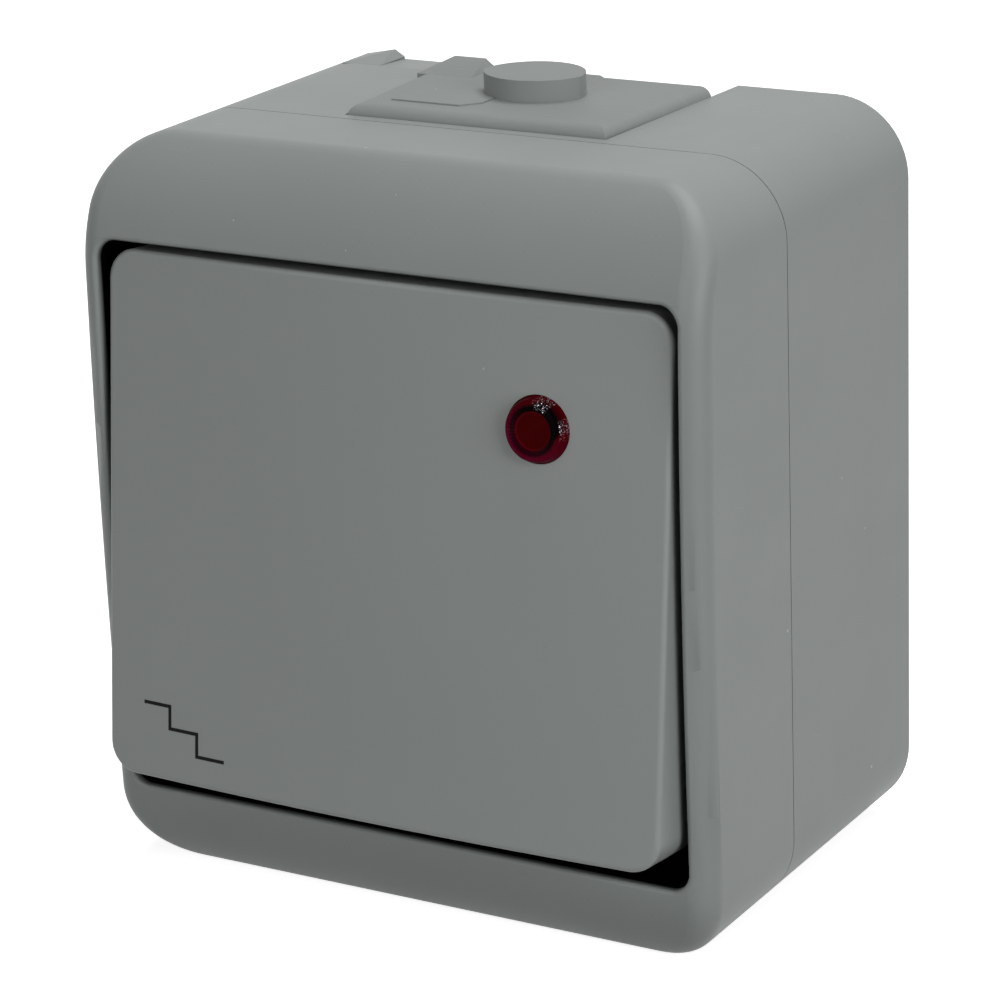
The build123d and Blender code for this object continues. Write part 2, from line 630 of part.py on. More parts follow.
def insert_body():
    """Moulded insulating body: contact chamber, strip channels, clamp pockets, wire holes."""
    sizes = (INSERT_HALF_WIDTH, INSERT_HALF_HEIGHT, INSERT_CORNER)
    body = slab(*sizes, INSERT_REAR, INSERT_FRONT, 0, PIVOT_HEIGHT)
    front = INSERT_FRONT + CUT
    body -= slab(CHAMBER_HALF_WIDTH, CHAMBER_HALF_HEIGHT, CHAMBER_CORNER, STRIP_REAR, front, 0, PIVOT_HEIGHT)
    for outline in strip_outlines().values():
        channel = offset(outline, STRIP_CLEARANCE, kind=Kind.INTERSECTION)
        body -= front_view_prism(channel, STRIP_REAR, front)
    half_width = CAGE_HALF_WIDTH + CAGE_CLEARANCE
    half_height = CAGE_HALF_HEIGHT + CAGE_CLEARANCE
    half_hole = STRIP_WIDTH / 2
    floor = INSERT_REAR + POCKET_SKIN
    for x, z in TERMINALS.values():
        body -= block(x - half_width, x + half_width, floor, front, z - half_height, z + half_height)
        outward = math.copysign(INSERT_HALF_HEIGHT + CUT, z) + PIVOT_HEIGHT
        hole_low, hole_high = min(z, outward), max(z, outward)
        body -= block(x - half_hole, x + half_hole, floor + CAGE_WALL, STRIP_REAR, hole_low, hole_high)
    for z in (PIVOT_HEIGHT - PLATE_SCREW_Z, PIVOT_HEIGHT + PLATE_SCREW_Z):
        body -= pilot_hole(0, z, INSERT_FRONT, PLATE_SCREW_SHANK)
    return body


def pivot_bracket(x):
    """Ear with a bore that carries one trunnion of the cradle."""
    reach = BRACKET_RADIUS
    x_end = x + BRACKET_THICKNESS
    foot = PLATE_FRONT - CUT
    profile = [
        (foot, PIVOT_HEIGHT - 1.5 * reach),
        (PIVOT_DEPTH, PIVOT_HEIGHT - reach),
        (PIVOT_DEPTH, PIVOT_HEIGHT + reach),
        (foot, PIVOT_HEIGHT + 1.5 * reach),
    ]
    ear = side_cut(profile, x, x_end) + cross_rod(2 * reach, x, x_end, PIVOT_DEPTH, PIVOT_HEIGHT)
    bore = TRUNNION_DIAMETER + 2 * TRUNNION_CLEARANCE
    return ear - cross_rod(bore, x - CUT, x_end + CUT, PIVOT_DEPTH, PIVOT_HEIGHT)


def insert_plate():
    """Front plate of the insert with fixing ears, pivot brackets and screwdriver holes."""
    near, far = INSERT_FRONT - CUT, PLATE_FRONT + CUT
    place = (PLATE_CORNER, INSERT_FRONT, PLATE_FRONT, 0, PIVOT_HEIGHT)
    plate = slab(PLATE_HALF_WIDTH, PLATE_HALF_HEIGHT, *place)
    plate += slab(EAR_X + EAR_REACH, EAR_HALF_HEIGHT, *place)
    bracket = pivot_bracket(CHEEK_X + CHEEK_THICKNESS + BRACKET_GAP)
    plate += bracket + mirror(bracket, Plane.YZ)
    window_width = CHAMBER_HALF_WIDTH - CHAMBER_CORNER
    plate -= slab(window_width, CHAMBER_HALF_HEIGHT / 2, CHAMBER_CORNER, near, far, 0, PIVOT_HEIGHT)
    for x, z in TERMINALS.values():
        plate -= rod(CLAMP_HEAD_DIAMETER + 2 * DRIVER_CLEARANCE, near, far, x, z)
    for x in (-EAR_X, EAR_X):
        plate -= rod(EAR_SCREW_SHANK + 2 * EAR_SCREW_CLEARANCE, near, far, x, PIVOT_HEIGHT)
        sink = EAR_SCREW_HEAD + 2 * THREAD_CLEARANCE
        plate -= rod(sink, PLATE_FRONT - EAR_HEAD_HEIGHT, far, x, PIVOT_HEIGHT)
    for z in (PIVOT_HEIGHT - PLATE_SCREW_Z, PIVOT_HEIGHT + PLATE_SCREW_Z):
        plate -= rod(PLATE_SCREW_SHANK + 2 * THREAD_CLEARANCE, near, far, 0, z)
    for x, z in LEAD_HOLES:
        plate -= rod(LEAD_DIAMETER + 2 * LEAD_HOLE_CLEARANCE, near, far, x, z)
    return plate


def insert_seal():
    """Soft square collar between the insert's plate and the cover's tray."""
    half_width = PLATE_HALF_WIDTH - SEAL_CLEARANCE
    half_height = PLATE_HALF_HEIGHT - SEAL_CLEARANCE
    outer = slab(half_width, half_height, PLATE_CORNER, PLATE_FRONT, TRAY_REAR, 0, PIVOT_HEIGHT)
    inner = (half_width - SEAL_WALL, half_height - SEAL_WALL, PLATE_CORNER - SEAL_WALL)
    return outer - slab(*inner, PLATE_FRONT - CUT, TRAY_REAR + CUT, 0, PIVOT_HEIGHT)


def fixed_strip(name):
    """Flat brass strip from a clamp to its contact tip."""
    return front_view_prism(strip_outlines()[name], STRIP_REAR, STRIP_FRONT)


def common_strip():
    """Brass strip of the common pole with the fulcrum blade and two guide lugs."""
    strip = fixed_strip("common")
    near = STRIP_FRONT - CUT / 2
    half = FULCRUM_THICKNESS / 2
    blade_end = SEESAW_HALF_WIDTH - LUG_GAP
    strip += block(-blade_end, blade_end, near, SEESAW_DEPTH, PIVOT_HEIGHT - half, PIVOT_HEIGHT + half)
    strip += cross_rod(FULCRUM_THICKNESS, -blade_end, blade_end, SEESAW_DEPTH, PIVOT_HEIGHT)
    lug_x = SEESAW_HALF_WIDTH + LUG_GAP
    lug_half = STRIP_WIDTH / 2 - STRIP_CLEARANCE
    lug_top = SEESAW_FRONT + LUG_THICKNESS
    z_low, z_high = PIVOT_HEIGHT - lug_half, PIVOT_HEIGHT + lug_half
    for low in (lug_x, -lug_x - LUG_THICKNESS):
        strip += block(low, low + LUG_THICKNESS, near, lug_top, z_low, z_high)
    return strip


def fixed_tips():
    """Two flat silver tips on the upper and lower strips."""
    tips = []
    for z in (PIVOT_HEIGHT - CONTACT_ARM, PIVOT_HEIGHT + CONTACT_ARM):
        tips.append(rod(2 * CONTACT_TIP_RADIUS, STRIP_FRONT, STRIP_FRONT + CONTACT_TIP_HEIGHT, 0, z))
    return Compound(children=tips)


def seesaw_contact():
    """Brass seesaw with a notch that rocks on the fulcrum blade."""
    sizes = (SEESAW_HALF_WIDTH, SEESAW_HALF_LENGTH, SEESAW_CORNER)
    plate = slab(*sizes, SEESAW_DEPTH, SEESAW_FRONT, 0, PIVOT_HEIGHT)
    notch = FULCRUM_THICKNESS + 2 * FULCRUM_CLEARANCE
    reach = SEESAW_HALF_WIDTH + CUT
    plate -= cross_rod(notch, -reach, reach, SEESAW_DEPTH, PIVOT_HEIGHT)
    return plate.rotate(SEESAW_AXIS, SEESAW_SWING)


def moving_tips():
    """Two domed silver tips under the seesaw's ends."""
    tips = []
    reach = DOME_RADIUS + CUT
    ball_depth = SEESAW_DEPTH + DOME_RADIUS - CONTACT_TIP_HEIGHT
    for z in (PIVOT_HEIGHT - CONTACT_ARM, PIVOT_HEIGHT + CONTACT_ARM):
        ball = Pos(0, -ball_depth, z) * Sphere(DOME_RADIUS)
        dome = ball - block(-reach, reach, SEESAW_DEPTH, ball_depth + reach, z - reach, z + reach)
        tips.append(dome.rotate(SEESAW_AXIS, SEESAW_SWING))
    return Compound(children=tips)


def wire_clamp(x, z):
    """Brass cage round the strip's end, with a tapped hole in its front wall."""
    rear = INSERT_REAR + POCKET_SKIN + STRIP_CLEARANCE
    front = rear + CAGE_LENGTH
    inner = CAGE_HALF_WIDTH - CAGE_WALL
    reach = CAGE_HALF_HEIGHT + CUT
    low, high = z - CAGE_HALF_HEIGHT, z + CAGE_HALF_HEIGHT
    cage = block(x - CAGE_HALF_WIDTH, x + CAGE_HALF_WIDTH, rear, front, low, high)
    cage -= block(x - inner, x + inner, rear + CAGE_WALL, front - CAGE_TOP, z - reach, z + reach)
    return cage - rod(CLAMP_SCREW_DIAMETER + 2 * THREAD_CLEARANCE, front - CAGE_TOP - CUT, front + CUT, x, z)


def slotted_screw(x, z, tip, seat, shank, head, head_height):
    """Screw along the depth: shank from tip to seat, round head with a driver slot."""
    slot_floor = seat + head_height / 2
    top = seat + head_height
    half_slot = head / 12
    reach = head / 2 + CUT
    screw = rod(shank, tip, slot_floor, x, z) + rod(head, seat, top, x, z)
    return screw - block(x - reach, x + reach, slot_floor, top + CUT, z - half_slot, z + half_slot)


def clamp_screws():
    """Three screws that press the strips against the wires."""
    tip = STRIP_FRONT + THREAD_CLEARANCE
    seat = INSERT_REAR + POCKET_SKIN + STRIP_CLEARANCE + CAGE_LENGTH + CLAMP_HEAD_HEIGHT
    sizes = (tip, seat, CLAMP_SCREW_DIAMETER, CLAMP_HEAD_DIAMETER, CLAMP_HEAD_HEIGHT)
    return Compound(children=[slotted_screw(x, z, *sizes) for x, z in TERMINALS.values()])


def plate_screws():
    """Two small screws that hold the plate on the insert's body."""
    tip = INSERT_FRONT - SCREW_GRIP + SCREW_TIP_GAP
    sizes = (tip, PLATE_FRONT, PLATE_SCREW_SHANK, PLATE_SCREW_HEAD, PLATE_SCREW_HEAD_HEIGHT)
    heights = (PIVOT_HEIGHT - PLATE_SCREW_Z, PIVOT_HEIGHT + PLATE_SCREW_Z)
    return Compound(children=[slotted_screw(0, z, *sizes) for z in heights])


def insert_screws():
    """Two screws sunk in the plate's ears and driven into the base's posts."""
    tip = INSERT_FRONT - SCREW_GRIP + SCREW_TIP_GAP
    sizes = (tip, PLATE_FRONT - EAR_HEAD_HEIGHT, EAR_SCREW_SHANK, EAR_SCREW_HEAD, EAR_HEAD_HEIGHT)
    return Compound(children=[slotted_screw(x, PIVOT_HEIGHT, *sizes) for x in (-EAR_X, EAR_X)])


def cover_screws():
    """Two screws in the tray's cups, hidden by the rocker."""
    tip = POST_TOP - SCREW_GRIP + SCREW_TIP_GAP
    sizes = (tip, CUP_FLOOR, COVER_SCREW_SHANK, COVER_SCREW_HEAD, COVER_HEAD_HEIGHT)
    return Compound(children=[slotted_screw(x, z, *sizes) for x, z in COVER_POSTS])


def face_prism(inset, reach):
    """Everything behind the rocker's bowed face, drawn back by inset."""
    radius = ROCKER_FACE_BOW - inset
    crown = inset - FACE_DEPTH
    half = ROCKER_HALF_WIDTH + CUT
    edge = crown + radius - math.sqrt(radius ** 2 - half ** 2)
    with BuildLine() as outline:
        ThreePointArc((-half, edge), (0, crown), (half, edge))
        Polyline((half, edge), (half, -PIVOT_DEPTH), (-half, -PIVOT_DEPTH), (-half, edge))
    return extrude(Plane.XY.offset(PIVOT_HEIGHT - reach) * make_face(outline.line), amount=2 * reach)


def runs_round_the_face(edge):
    """True for the edges between the rocker's face and its skirts."""
    return edge.center().Y < -(SKIRT_BACK + FACE_DEPTH) / 2 and abs(edge.tangent_at(0.5).Y) < 0.5


def rocker_button():
    """Bowed cap with skirts, ribs that rest on the cradle, and two clips that hold it."""
    reach = ROCKER_HALF_HEIGHT + CUT
    front = FACE_DEPTH + CUT
    cap = slab(ROCKER_HALF_WIDTH, ROCKER_HALF_HEIGHT, ROCKER_CORNER, SKIRT_BACK, front, 0, PIVOT_HEIGHT)
    cap = cap & face_prism(0, reach)
    cap = fillet(cap.edges().filter_by(runs_round_the_face), ROCKER_EDGE_ROUND)
    inner_width = ROCKER_HALF_WIDTH - ROCKER_SKIRT
    inner_height = ROCKER_HALF_HEIGHT - ROCKER_SKIRT
    inner_corner = ROCKER_CORNER - ROCKER_SKIRT
    hollow = slab(inner_width, inner_height, inner_corner, SKIRT_BACK - CUT, FACE_DEPTH, 0, PIVOT_HEIGHT)
    cap -= hollow & face_prism(ROCKER_FACE, reach)
    cap += rocker_fittings() & face_prism(ROCKER_FACE / 2, reach)
    return cap - rod(LENS_DIAMETER + 2 * LENS_CLEARANCE, SKIRT_BACK, front, LENS_X, LENS_Z)


def rocker_fittings():
    """Ribs and clips behind the rocker's face, where the cradle sits."""
    leg_x = CRADLE_HALF_WIDTH + CLIP_CLEARANCE
    hook_front = CRADLE_BACK - THREAD_CLEARANCE
    hook_rear = hook_front - CLIP_THICKNESS
    hook_x = leg_x - CLIP_CLEARANCE - CLIP_HOOK
    low, high = PIVOT_HEIGHT - CLIP_HALF_HEIGHT, PIVOT_HEIGHT + CLIP_HALF_HEIGHT
    clip = block(leg_x, leg_x + CLIP_THICKNESS, hook_rear, FACE_DEPTH, low, high)
    clip += top_cut([(leg_x, hook_front), (hook_x, hook_front), (leg_x, hook_rear)], low, high)
    fittings = clip + mirror(clip, Plane.YZ)
    half = RIB_THICKNESS / 2
    for z in (PIVOT_HEIGHT - RIB_Z, PIVOT_HEIGHT + RIB_Z):
        fittings += block(-RIB_HALF_WIDTH, RIB_HALF_WIDTH, CRADLE_FRONT, FACE_DEPTH, z - half, z + half)
    return fittings


def indicator_lens():
    """Turned lens: bevelled window, flange behind the rocker's face, light pipe."""
    radius = LENS_DIAMETER / 2
    flange = LENS_FLANGE / 2
    pipe = LENS_PIPE_DIAMETER / 2
    outer_bow = ROCKER_FACE_BOW
    inner_bow = ROCKER_FACE_BOW - ROCKER_FACE
    bow_centre = FACE_DEPTH - ROCKER_FACE_BOW
    front = bow_centre + math.sqrt(outer_bow ** 2 - LENS_X ** 2) + LENS_PROUD
    flange_front = bow_centre + math.sqrt(inner_bow ** 2 - (LENS_X + flange) ** 2)
    flange_rear = flange_front - LENS_FLANGE_THICKNESS
    window = radius - LENS_BEVEL
    points = [
        (0, flange_rear - LENS_PIPE_LENGTH),
        (pipe, flange_rear - LENS_PIPE_LENGTH),
        (pipe, flange_rear),
        (flange, flange_rear),
        (flange, flange_front),
        (radius, flange_front),
        (radius, front - LENS_BEVEL),
        (window, front),
        (window - LENS_STEP, front - LENS_DIP),
        (0, front - LENS_DIP),
    ]
    turned = revolve(make_face(Polyline(*points, close=True)), Axis.Y)
    return Pos(LENS_X, 0, LENS_Z) * mirror(turned, Plane.XZ)


def rocker_cradle():
    """Carrier of the rocker: plate, cheeks with trunnions, and the plunger's boss."""
    sizes = (CRADLE_HALF_WIDTH, CRADLE_HALF_HEIGHT, CRADLE_CORNER)
    plate = slab(*sizes, CRADLE_BACK, CRADLE_FRONT, 0, PIVOT_HEIGHT)
    foot = CRADLE_HALF_HEIGHT / 2
    tip = TRUNNION_DIAMETER / 2 + TRUNNION_WALL
    foot_depth = CRADLE_BACK + CRADLE_THICKNESS / 2
    cheek_end = CHEEK_X + CHEEK_THICKNESS
    profile = [
        (foot_depth, PIVOT_HEIGHT - foot),
        (PIVOT_DEPTH, PIVOT_HEIGHT - tip),
        (PIVOT_DEPTH, PIVOT_HEIGHT + tip),
        (foot_depth, PIVOT_HEIGHT + foot),
    ]
    cheek = side_cut(profile, CHEEK_X, cheek_end)
    cheek += cross_rod(2 * tip, CHEEK_X, cheek_end, PIVOT_DEPTH, PIVOT_HEIGHT)
    trunnion_end = cheek_end + BRACKET_GAP + BRACKET_THICKNESS
    cheek += cross_rod(TRUNNION_DIAMETER, CHEEK_X, trunnion_end, PIVOT_DEPTH, PIVOT_HEIGHT)
    cradle = plate + cheek + mirror(cheek, Plane.YZ)
    cradle += rod(BOSS_DIAMETER, BOSS_REAR, foot_depth, 0, PIVOT_HEIGHT)
    bore = PLUNGER_DIAMETER + 2 * PLUNGER_CLEARANCE
    return cradle - rod(bore, BOSS_REAR - CUT, SPRING_SEAT, 0, PIVOT_HEIGHT)


def plunger():
    """Round-nosed pin, hollow for the spring, just clear of the level seesaw."""
    radius = PLUNGER_DIAMETER / 2
    nose_end = PLUNGER_TIP + radius
    end = PLUNGER_TIP + PLUNGER_LENGTH
    nose = Pos(0, -nose_end, PIVOT_HEIGHT) * Sphere(radius)
    pin = rod(PLUNGER_DIAMETER, nose_end, end, 0, PIVOT_HEIGHT) + nose
    return pin - rod(PLUNGER_BORE, PLUNGER_FLOOR, end + CUT, 0, PIVOT_HEIGHT)


def plunger_spring():
    """Helical spring between the plunger and the cradle. Its wire has six sides to stay light."""
    start = PLUNGER_FLOOR + SPRING_WIRE / 2
    length = SPRING_SEAT - SPRING_WIRE / 2 - start
    coil = (SPRING_DIAMETER - SPRING_WIRE) / 2
    path = Helix(pitch=length / SPRING_TURNS, height=length, radius=coil)
    section = Plane(origin=path @ 0, z_dir=path % 0) * RegularPolygon(SPRING_WIRE / 2, 6)
    wire = sweep(section, path=path)
    return Pos(0, -start, PIVOT_HEIGHT) * Rot(90, 0, 0) * wire


def lamp_holder():
    """Small moulded socket on the plate, open to the front."""
    half = HOLDER_HALF_WIDTH
    top = PLATE_FRONT + HOLDER_HEIGHT
    holder = slab(half, half, HOLDER_CORNER, PLATE_FRONT, top, LAMP_X, LAMP_Z)
    socket = LAMP_DIAMETER + 2 * LAMP_CLEARANCE
    return holder - rod(socket, PLATE_FRONT + HOLDER_BASE, top + CUT, LAMP_X, LAMP_Z)


def neon_lamp():
    """Sealed glass bulb with a domed end."""
    base = PLATE_FRONT + HOLDER_BASE
    radius = LAMP_DIAMETER / 2
    dome = base + LAMP_LENGTH - radius
    return rod(LAMP_DIAMETER, base, dome, LAMP_X, LAMP_Z) + Pos(LAMP_X, -dome, LAMP_Z) * Sphere(radius)


def series_resistor():
    """Small resistor lying on the plate below the lamp, with chamfered ends."""
    centre = Pos(LAMP_X, -(PLATE_FRONT + RESISTOR_DIAMETER / 2), RESISTOR_TOP - RESISTOR_LENGTH / 2)
    body = centre * Cylinder(RESISTOR_DIAMETER / 2, RESISTOR_LENGTH)
    return chamfer(body.edges().filter_by(GeomType.CIRCLE), RESISTOR_DIAMETER / 6)


def lead(points):
    """Stiff wire through points, with square bends."""
    path = Polyline(*points) if len(points) > 2 else Line(*points)
    section = Plane(origin=path @ 0, z_dir=path % 0) * Circle(LEAD_DIAMETER / 2)
    return sweep(section, path=path, transition=Transition.RIGHT)


def lamp_leads():
    """Lead to the upper strip, link to the resistor, and lead to the lower strip."""
    level = -(PLATE_FRONT + LEAD_DIAMETER / 2 + THREAD_CLEARANCE)
    deep = -(STRIP_FRONT + THREAD_CLEARANCE)
    axis_level = -(PLATE_FRONT + RESISTOR_DIAMETER / 2)
    (upper_x, upper_z), (lower_x, lower_z) = LEAD_HOLES
    holder_low = LAMP_Z - HOLDER_HALF_WIDTH
    run_z = LAMP_Z - HOLDER_HALF_WIDTH / 2
    resistor_end = RESISTOR_TOP - RESISTOR_LENGTH
    first = [
        (LAMP_X - HOLDER_HALF_WIDTH, level, run_z),
        (upper_x, level, run_z),
        (upper_x, level, upper_z),
        (upper_x, deep, upper_z),
    ]
    link = [(LAMP_X, axis_level, holder_low), (LAMP_X, axis_level, RESISTOR_TOP)]
    second = [
        (LAMP_X, axis_level, resistor_end),
        (LAMP_X, axis_level, lower_z),
        (lower_x, axis_level, lower_z),
        (lower_x, deep, lower_z),
    ]
    return Compound(children=[lead(first), lead(link), lead(second)])


def tilted(shape):
    """Piece of the rocker in its rest pose, pressed at the top."""
    return shape.rotate(ROCKER_AXIS, -ROCKER_SWING)


def write(name, shape):
    """One file for each piece."""
    shape.label = name
    export_step(shape, "parts/" + name + ".step")


write("base_box", base_box())
write("front_cover", front_cover())
write("rim_gasket", rim_gasket())
write("cable_gland", cable_gland())
write("rocker_button", tilted(rocker_button()))
write("indicator_lens", tilted(indicator_lens()))
write("rocker_cradle", tilted(rocker_cradle()))
write("plunger", tilted(plunger()))
write("plunger_spring", tilted(plunger_spring()))
write("insert_body", insert_body())
write("insert_plate", insert_plate())
write("insert_seal", insert_seal())
write("upper_strip", fixed_strip("upper"))
write("lower_strip", fixed_strip("lower"))
write("common_strip", common_strip())
write("fixed_tips", fixed_tips())
write("seesaw_contact", seesaw_contact())
write("moving_tips", moving_tips())
for terminal, (terminal_x, terminal_z) in TERMINALS.items():
    write(terminal + "_clamp", wire_clamp(terminal_x, terminal_z))
write("clamp_screws", clamp_screws())
write("plate_screws", plate_screws())
write("insert_screws", insert_screws())
write("cover_screws", cover_screws())
write("lamp_holder", lamp_holder())
write("neon_lamp", neon_lamp())
write("series_resistor", series_resistor())
write("lamp_leads", lamp_leads())
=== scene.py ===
import math
import bmesh
import bpy
from mathutils import Matrix, Vector


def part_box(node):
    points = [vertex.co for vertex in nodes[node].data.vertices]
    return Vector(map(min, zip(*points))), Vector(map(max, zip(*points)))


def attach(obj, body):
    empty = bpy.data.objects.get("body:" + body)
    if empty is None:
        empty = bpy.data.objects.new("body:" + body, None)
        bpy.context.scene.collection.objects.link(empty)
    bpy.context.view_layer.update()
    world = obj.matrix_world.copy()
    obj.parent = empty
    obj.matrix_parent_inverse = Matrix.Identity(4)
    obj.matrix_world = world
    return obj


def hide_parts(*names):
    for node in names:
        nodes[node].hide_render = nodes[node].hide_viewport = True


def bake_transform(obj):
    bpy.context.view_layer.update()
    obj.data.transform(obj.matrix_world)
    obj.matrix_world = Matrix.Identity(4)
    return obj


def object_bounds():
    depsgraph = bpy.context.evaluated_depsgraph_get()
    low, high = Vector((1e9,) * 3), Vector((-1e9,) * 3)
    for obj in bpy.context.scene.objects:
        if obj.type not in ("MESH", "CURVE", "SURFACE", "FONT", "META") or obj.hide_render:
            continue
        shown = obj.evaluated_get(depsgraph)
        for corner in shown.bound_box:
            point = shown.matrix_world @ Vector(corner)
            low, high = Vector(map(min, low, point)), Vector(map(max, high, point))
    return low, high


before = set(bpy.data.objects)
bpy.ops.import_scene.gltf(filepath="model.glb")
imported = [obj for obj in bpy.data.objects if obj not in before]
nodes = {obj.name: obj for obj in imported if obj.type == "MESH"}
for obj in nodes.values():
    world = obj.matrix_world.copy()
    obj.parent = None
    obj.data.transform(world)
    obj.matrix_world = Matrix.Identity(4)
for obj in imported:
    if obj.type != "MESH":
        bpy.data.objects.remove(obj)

cad_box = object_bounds()
scene = bpy.context.scene
scene.view_settings.view_transform = "Standard"


# The eye stands to the right of the switch and a little above it, as in a shop picture.
# The long lens keeps the casing's edges nearly parallel.
eye_turn, eye_rise = math.radians(30.718), math.radians(18.527)
eye_roll = math.radians(-2.114)
eye_place = Vector((0.17913, -0.32376, 0.11658))
eye_level = Vector((math.cos(eye_turn), math.sin(eye_turn), 0.0))
eye_back = Vector((
    math.sin(eye_turn) * math.cos(eye_rise),
    -math.cos(eye_turn) * math.cos(eye_rise),
    math.sin(eye_rise),
))
eye_upright = eye_back.cross(eye_level)
eye_right = math.cos(eye_roll) * eye_level + math.sin(eye_roll) * eye_upright
eye_up = math.cos(eye_roll) * eye_upright - math.sin(eye_roll) * eye_level
eye_axes = Matrix((eye_right, eye_up, eye_back)).transposed().to_4x4()
eye = bpy.data.objects.new("eye", bpy.data.cameras.new("eye"))
eye.data.sensor_width = 36.0
eye.data.lens = 137.94
eye.data.clip_start = 0.01
eye.matrix_world = Matrix.Translation(eye_place) @ eye_axes
scene.collection.objects.link(eye)
scene.camera = eye


# Soft light as in a light tent: a large lamp overhead, another one in front and a smaller
# one on the right. A tiny lamp high on the right puts glints on rounded edges.
lamp_aim = Vector((0.0, -0.02, 0.0))


def soft_lamp(name, place, width, height, power):
    """A lamp that faces the switch, with its size in metres and its power in watts."""
    lamp = bpy.data.lights.new(name, "AREA")
    lamp.shape = "RECTANGLE"
    lamp.size, lamp.size_y = width, height
    lamp.energy = power
    holder = bpy.data.objects.new(name, lamp)
    turned = (lamp_aim - Vector(place)).to_track_quat("-Z", "Y").to_matrix().to_4x4()
    holder.matrix_world = Matrix.Translation(Vector(place)) @ turned
    scene.collection.objects.link(holder)


soft_lamp("overhead_lamp", (0.06, 0.16, 0.75), width=0.60, height=0.50, power=4.15)
soft_lamp("right_lamp", (0.42, -0.18, 0.10), width=0.26, height=0.32, power=1.12)
soft_lamp("front_lamp", (-0.12, -0.85, 0.28), width=0.50, height=0.50, power=2.42)
soft_lamp("glint_lamp", (0.42, -0.38, 0.52), width=0.012, height=0.012, power=0.22)


# Floor and background: plain white to the eye and to glossy and clear surfaces, with the
# casing's own soft shadow on it. To all other light the floor is dark, so that little
# light comes back up from it.
class Shade:
    """A shader socket with arithmetic: an expression on sockets adds its Math nodes."""

    def __init__(self, tree, socket=None):
        self.tree = tree
        self.socket = socket

    def node(self, kind, settings=None, **values):
        """Any node: its settings first, then its sockets' values or links by name, or i0, i1."""
        made = self.tree.nodes.new(kind)
        for key, value in (settings or {}).items():
            setattr(made, key, value)
        for key, value in values.items():
            place = made.inputs[int(key[1:]) if key[1:].isdigit() else key.replace("_", " ")]
            if isinstance(value, Shade):
                self.tree.links.new(value.socket, place)
            else:
                place.default_value = value
        return made

    def out(self, made, name=0):
        return Shade(self.tree, made.outputs[name])

    def maths(self, operation, first, second=0.0):
        return self.out(self.node("ShaderNodeMath", {"operation": operation}, i0=first, i1=second))

    def __add__(self, other):
        return self.maths("ADD", self, other)

    __radd__ = __add__

    def __mul__(self, other):
        return self.maths("MULTIPLY", self, other)

    __rmul__ = __mul__

    def __sub__(self, other):
        return self.maths("SUBTRACT", self, other)

    def __rsub__(self, other):
        return self.maths("SUBTRACT", other, self)

    def __truediv__(self, other):
        return self.maths("DIVIDE", self, other)

    def __rtruediv__(self, other):
        return self.maths("DIVIDE", other, self)

    def above(self, level):
        return self.maths("GREATER_THAN", self, level)

    def below(self, level):
        return self.maths("LESS_THAN", self, level)

    def larger(self, other):
        return self.maths("MAXIMUM", self, other)

    def held(self):
        """The value kept between 0 and 1."""
        return self.maths("MINIMUM", self.larger(0.0), 1.0)

    def steeper(self, slope, drop):
        """The value times a slope less a drop, kept between 0 and 1."""
        return (self * slope - drop).held()

    def colours(self, low, high):
        """One colour where this value is 0, another where it is 1."""
        mixed = self.node("ShaderNodeMix", {"data_type": "RGBA"}, i0=self, i6=low, i7=high)
        return self.out(mixed, 2)


def empty_tree(owner):
    """Clears a material's or world's nodes for new ones."""
    owner.use_nodes = True
    owner.node_tree.nodes.clear()
    return Shade(owner.node_tree)


def seen_directly(start):
    """1 for the eye's own rays and those it sends through gloss or glass."""
    rays = start.node("ShaderNodeLightPath")
    seen = start.out(rays, "Is Camera Ray").larger(start.out(rays, "Is Glossy Ray"))
    return seen.larger(start.out(rays, "Is Transmission Ray"))


def made_piece(name, shape):
    """A new object at the origin from a finished bmesh."""
    made = bpy.data.objects.new(name, bpy.data.meshes.new(name))
    shape.to_mesh(made.data)
    shape.free()
    scene.collection.objects.link(made)
    return made


white = (1.0, 1.0, 1.0, 1.0)
floor_reach = 3.0
floor_mesh = bmesh.new()
bmesh.ops.create_grid(floor_mesh, x_segments=1, y_segments=1, size=floor_reach)
bmesh.ops.translate(floor_mesh, verts=floor_mesh.verts, vec=(0.0, 0.0, cad_box[0][2]))
floor = made_piece("floor", floor_mesh)
floor_paper = bpy.data.materials.new("floor_paper")
paper = empty_tree(floor_paper)
dark_paper = paper.out(paper.node("ShaderNodeBsdfDiffuse", Color=(0.08, 0.08, 0.08, 1.0)))
lit_paper = paper.out(paper.node("ShaderNodeBsdfDiffuse", Color=(0.80, 0.80, 0.80, 1.0)))
own_light = paper.out(paper.node("ShaderNodeEmission", Color=white, Strength=0.80))
white_paper = paper.out(paper.node("ShaderNodeAddShader", i0=lit_paper, i1=own_light))
paper_seen = paper.node(
    "ShaderNodeMixShader", i0=seen_directly(paper), i1=dark_paper, i2=white_paper
)
paper.node("ShaderNodeOutputMaterial", Surface=paper.out(paper_seen))
floor.data.materials.append(floor_paper)

backdrop = bpy.data.worlds.new("backdrop")
scene.world = backdrop
tent = empty_tree(backdrop)
tent_fill = 0.02
tent_strength = seen_directly(tent) * (1.0 - tent_fill) + tent_fill
tent_light = tent.node("ShaderNodeBackground", Color=white, Strength=tent_strength)
tent.node("ShaderNodeOutputWorld", Surface=tent.out(tent_light))


# Base and cover: two thermoplastic mouldings in one grey, satin from a spark-eroded tool
# and screwed together. A little dust lies on them. The sunk tray behind the rocker
# is painted near black, as painted shade for its deep narrow gap.
def linear(red, green, blue):
    """A colour as a paint chart gives it, 0 to 255, in linear light."""
    shares = (red / 255, green / 255, blue / 255)
    lit = tuple(c / 12.92 if c <= 0.04 else ((c + 0.055) / 1.055) ** 2.4 for c in shares)
    return lit + (1.0,)


